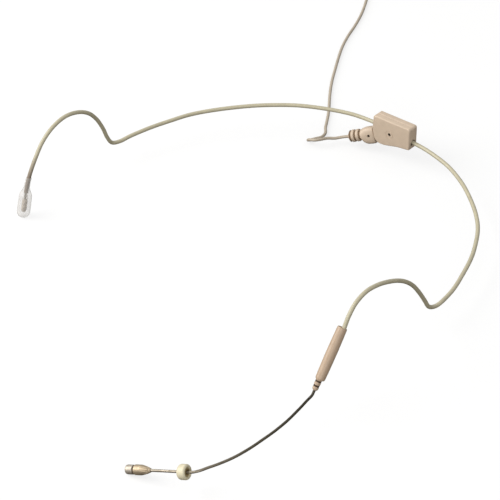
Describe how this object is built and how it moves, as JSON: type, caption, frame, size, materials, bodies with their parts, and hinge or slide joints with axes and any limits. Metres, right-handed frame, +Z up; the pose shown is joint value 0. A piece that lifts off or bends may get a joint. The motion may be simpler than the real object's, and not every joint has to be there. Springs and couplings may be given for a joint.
{
  "type": "headset microphone",
  "caption": "Slim sprung neck band with two ear hooks, a thin boom with a miniature capsule, a nape housing with a swivelling cable boot, and a thin cable coiled to a small jack plug.",
  "frame": {"origin": "centre of the footprint of the headset without its cable, on the surface it lies on", "axes": "+X towards the wearer's left ear, where the boom is, +Y from the mouth towards the nape, +Z up from the surface"},
  "size_m": [0.1785, 0.3214, 0.0362],
  "materials": {
    "band_sleeve": "satin, thin extruded sleeve on spring wire",
    "spring_wire": "drawn spring wire",
    "lead": "enamelled lead",
    "silicone": "clear silicone",
    "shell_plastic": "fine moulded texture, skin tone",
    "rivet": "dark",
    "crimp": "plain",
    "pin_steel": "bright",
    "boom_metal": "dull olive brown coat on steel tube",
    "seal_rubber": "matt",
    "ring_plastic": "cream",
    "bush": "tan",
    "capsule_metal": "satin, beige coat",
    "mesh": "woven mesh",
    "plate": "gold flash",
    "board": "circuit board",
    "cable_jacket": "smooth jacket, greyish beige",
    "tie": "hook and loop strap",
    "plug_plastic": "black",
    "lock_metal": "knurled",
    "contact": "gold flash",
    "insulator": "moulded"
  },
  "bodies": {
    "headband": {"right_arm_tube": "band_sleeve", "left_arm_tube": "band_sleeve", "right_arm_wire": "spring_wire", "left_arm_wire": "spring_wire", "left_arm_lead": "lead", "housing_lead": "lead", "right_tip_sleeve": "silicone", "inner_shell": "shell_plastic", "outer_shell": "shell_plastic", "boom_barrel": "shell_plastic", "right_tip_bead": "shell_plastic", "shell_rivet": "rivet", "right_wire_crimp": "crimp", "left_wire_crimp": "crimp", "hook_socket": "crimp", "swivel_pin": "pin_steel", "cable": "cable_jacket", "cable_coil": "cable_jacket", "cable_end": "cable_jacket", "coil_tie": "tie", "plug_barrel": "plug_plastic", "plug_relief": "plug_plastic", "plug_sleeve_contact": "contact", "plug_ring_contact": "contact", "plug_tip_contact": "contact", "plug_insulators": "insulator"},
    "boot": {"cable_boot": "shell_plastic", "boot_crimp": "crimp", "boot_cross_pin": "rivet", "cable_tail": "cable_jacket"},
    "gland": {"boom_gland": "shell_plastic", "gland_rings": "seal_rubber", "gland_clip": "pin_steel"},
    "boom": {"boom_shank": "boom_metal", "boom_stem": "boom_metal", "boom_nose": "boom_metal", "boom_lead": "lead", "capsule_body": "capsule_metal", "capsule_seal": "seal_rubber", "element_can": "mesh", "element_backplate": "plate", "element_diaphragm": "plate", "element_board": "board"},
    "moisture_ring": {"moisture_ring": "ring_plastic", "moisture_ring_bush": "bush"},
    "grille_cap": {"grille_cap": "capsule_metal", "grille_mesh": "mesh"},
    "lock_ring": {"plug_lock_ring": "lock_metal"}
  },
  "joints": [
    {"name": "boot_swivel", "type": "hinge", "parent": "headband", "child": "boot", "pos_m": [-0.0015, 0.0931, 0.0094], "axis": [0, 1, 0], "range_deg": [-45, 5]},
    {"name": "boom_turn", "type": "hinge", "parent": "headband", "child": "gland", "pos_m": [0.0722, -0.0308, 0.0124], "axis": [0, 0.5878, 0.809], "range_deg": [-30, 60]},
    {"name": "boom_slide", "type": "slide", "parent": "gland", "child": "boom", "axis": [0, -0.5878, -0.809], "range_m": [0, 0.005]},
    {"name": "ring_slide", "type": "slide", "parent": "boom", "child": "moisture_ring", "axis": [-0.91, -0.2438, -0.3355], "range_m": [0, 0.008]},
    {"name": "cap_pull", "type": "slide", "parent": "boom", "child": "grille_cap", "axis": [-0.91, -0.2438, -0.3355], "range_m": [0, 0.004]},
    {"name": "lock_ring_turn", "type": "hinge", "parent": "headband", "child": "lock_ring", "pos_m": [-0.06872, 0.20901, 0.0048], "axis": [0.4695, 0.8829, 0], "continuous": true}
  ]
}
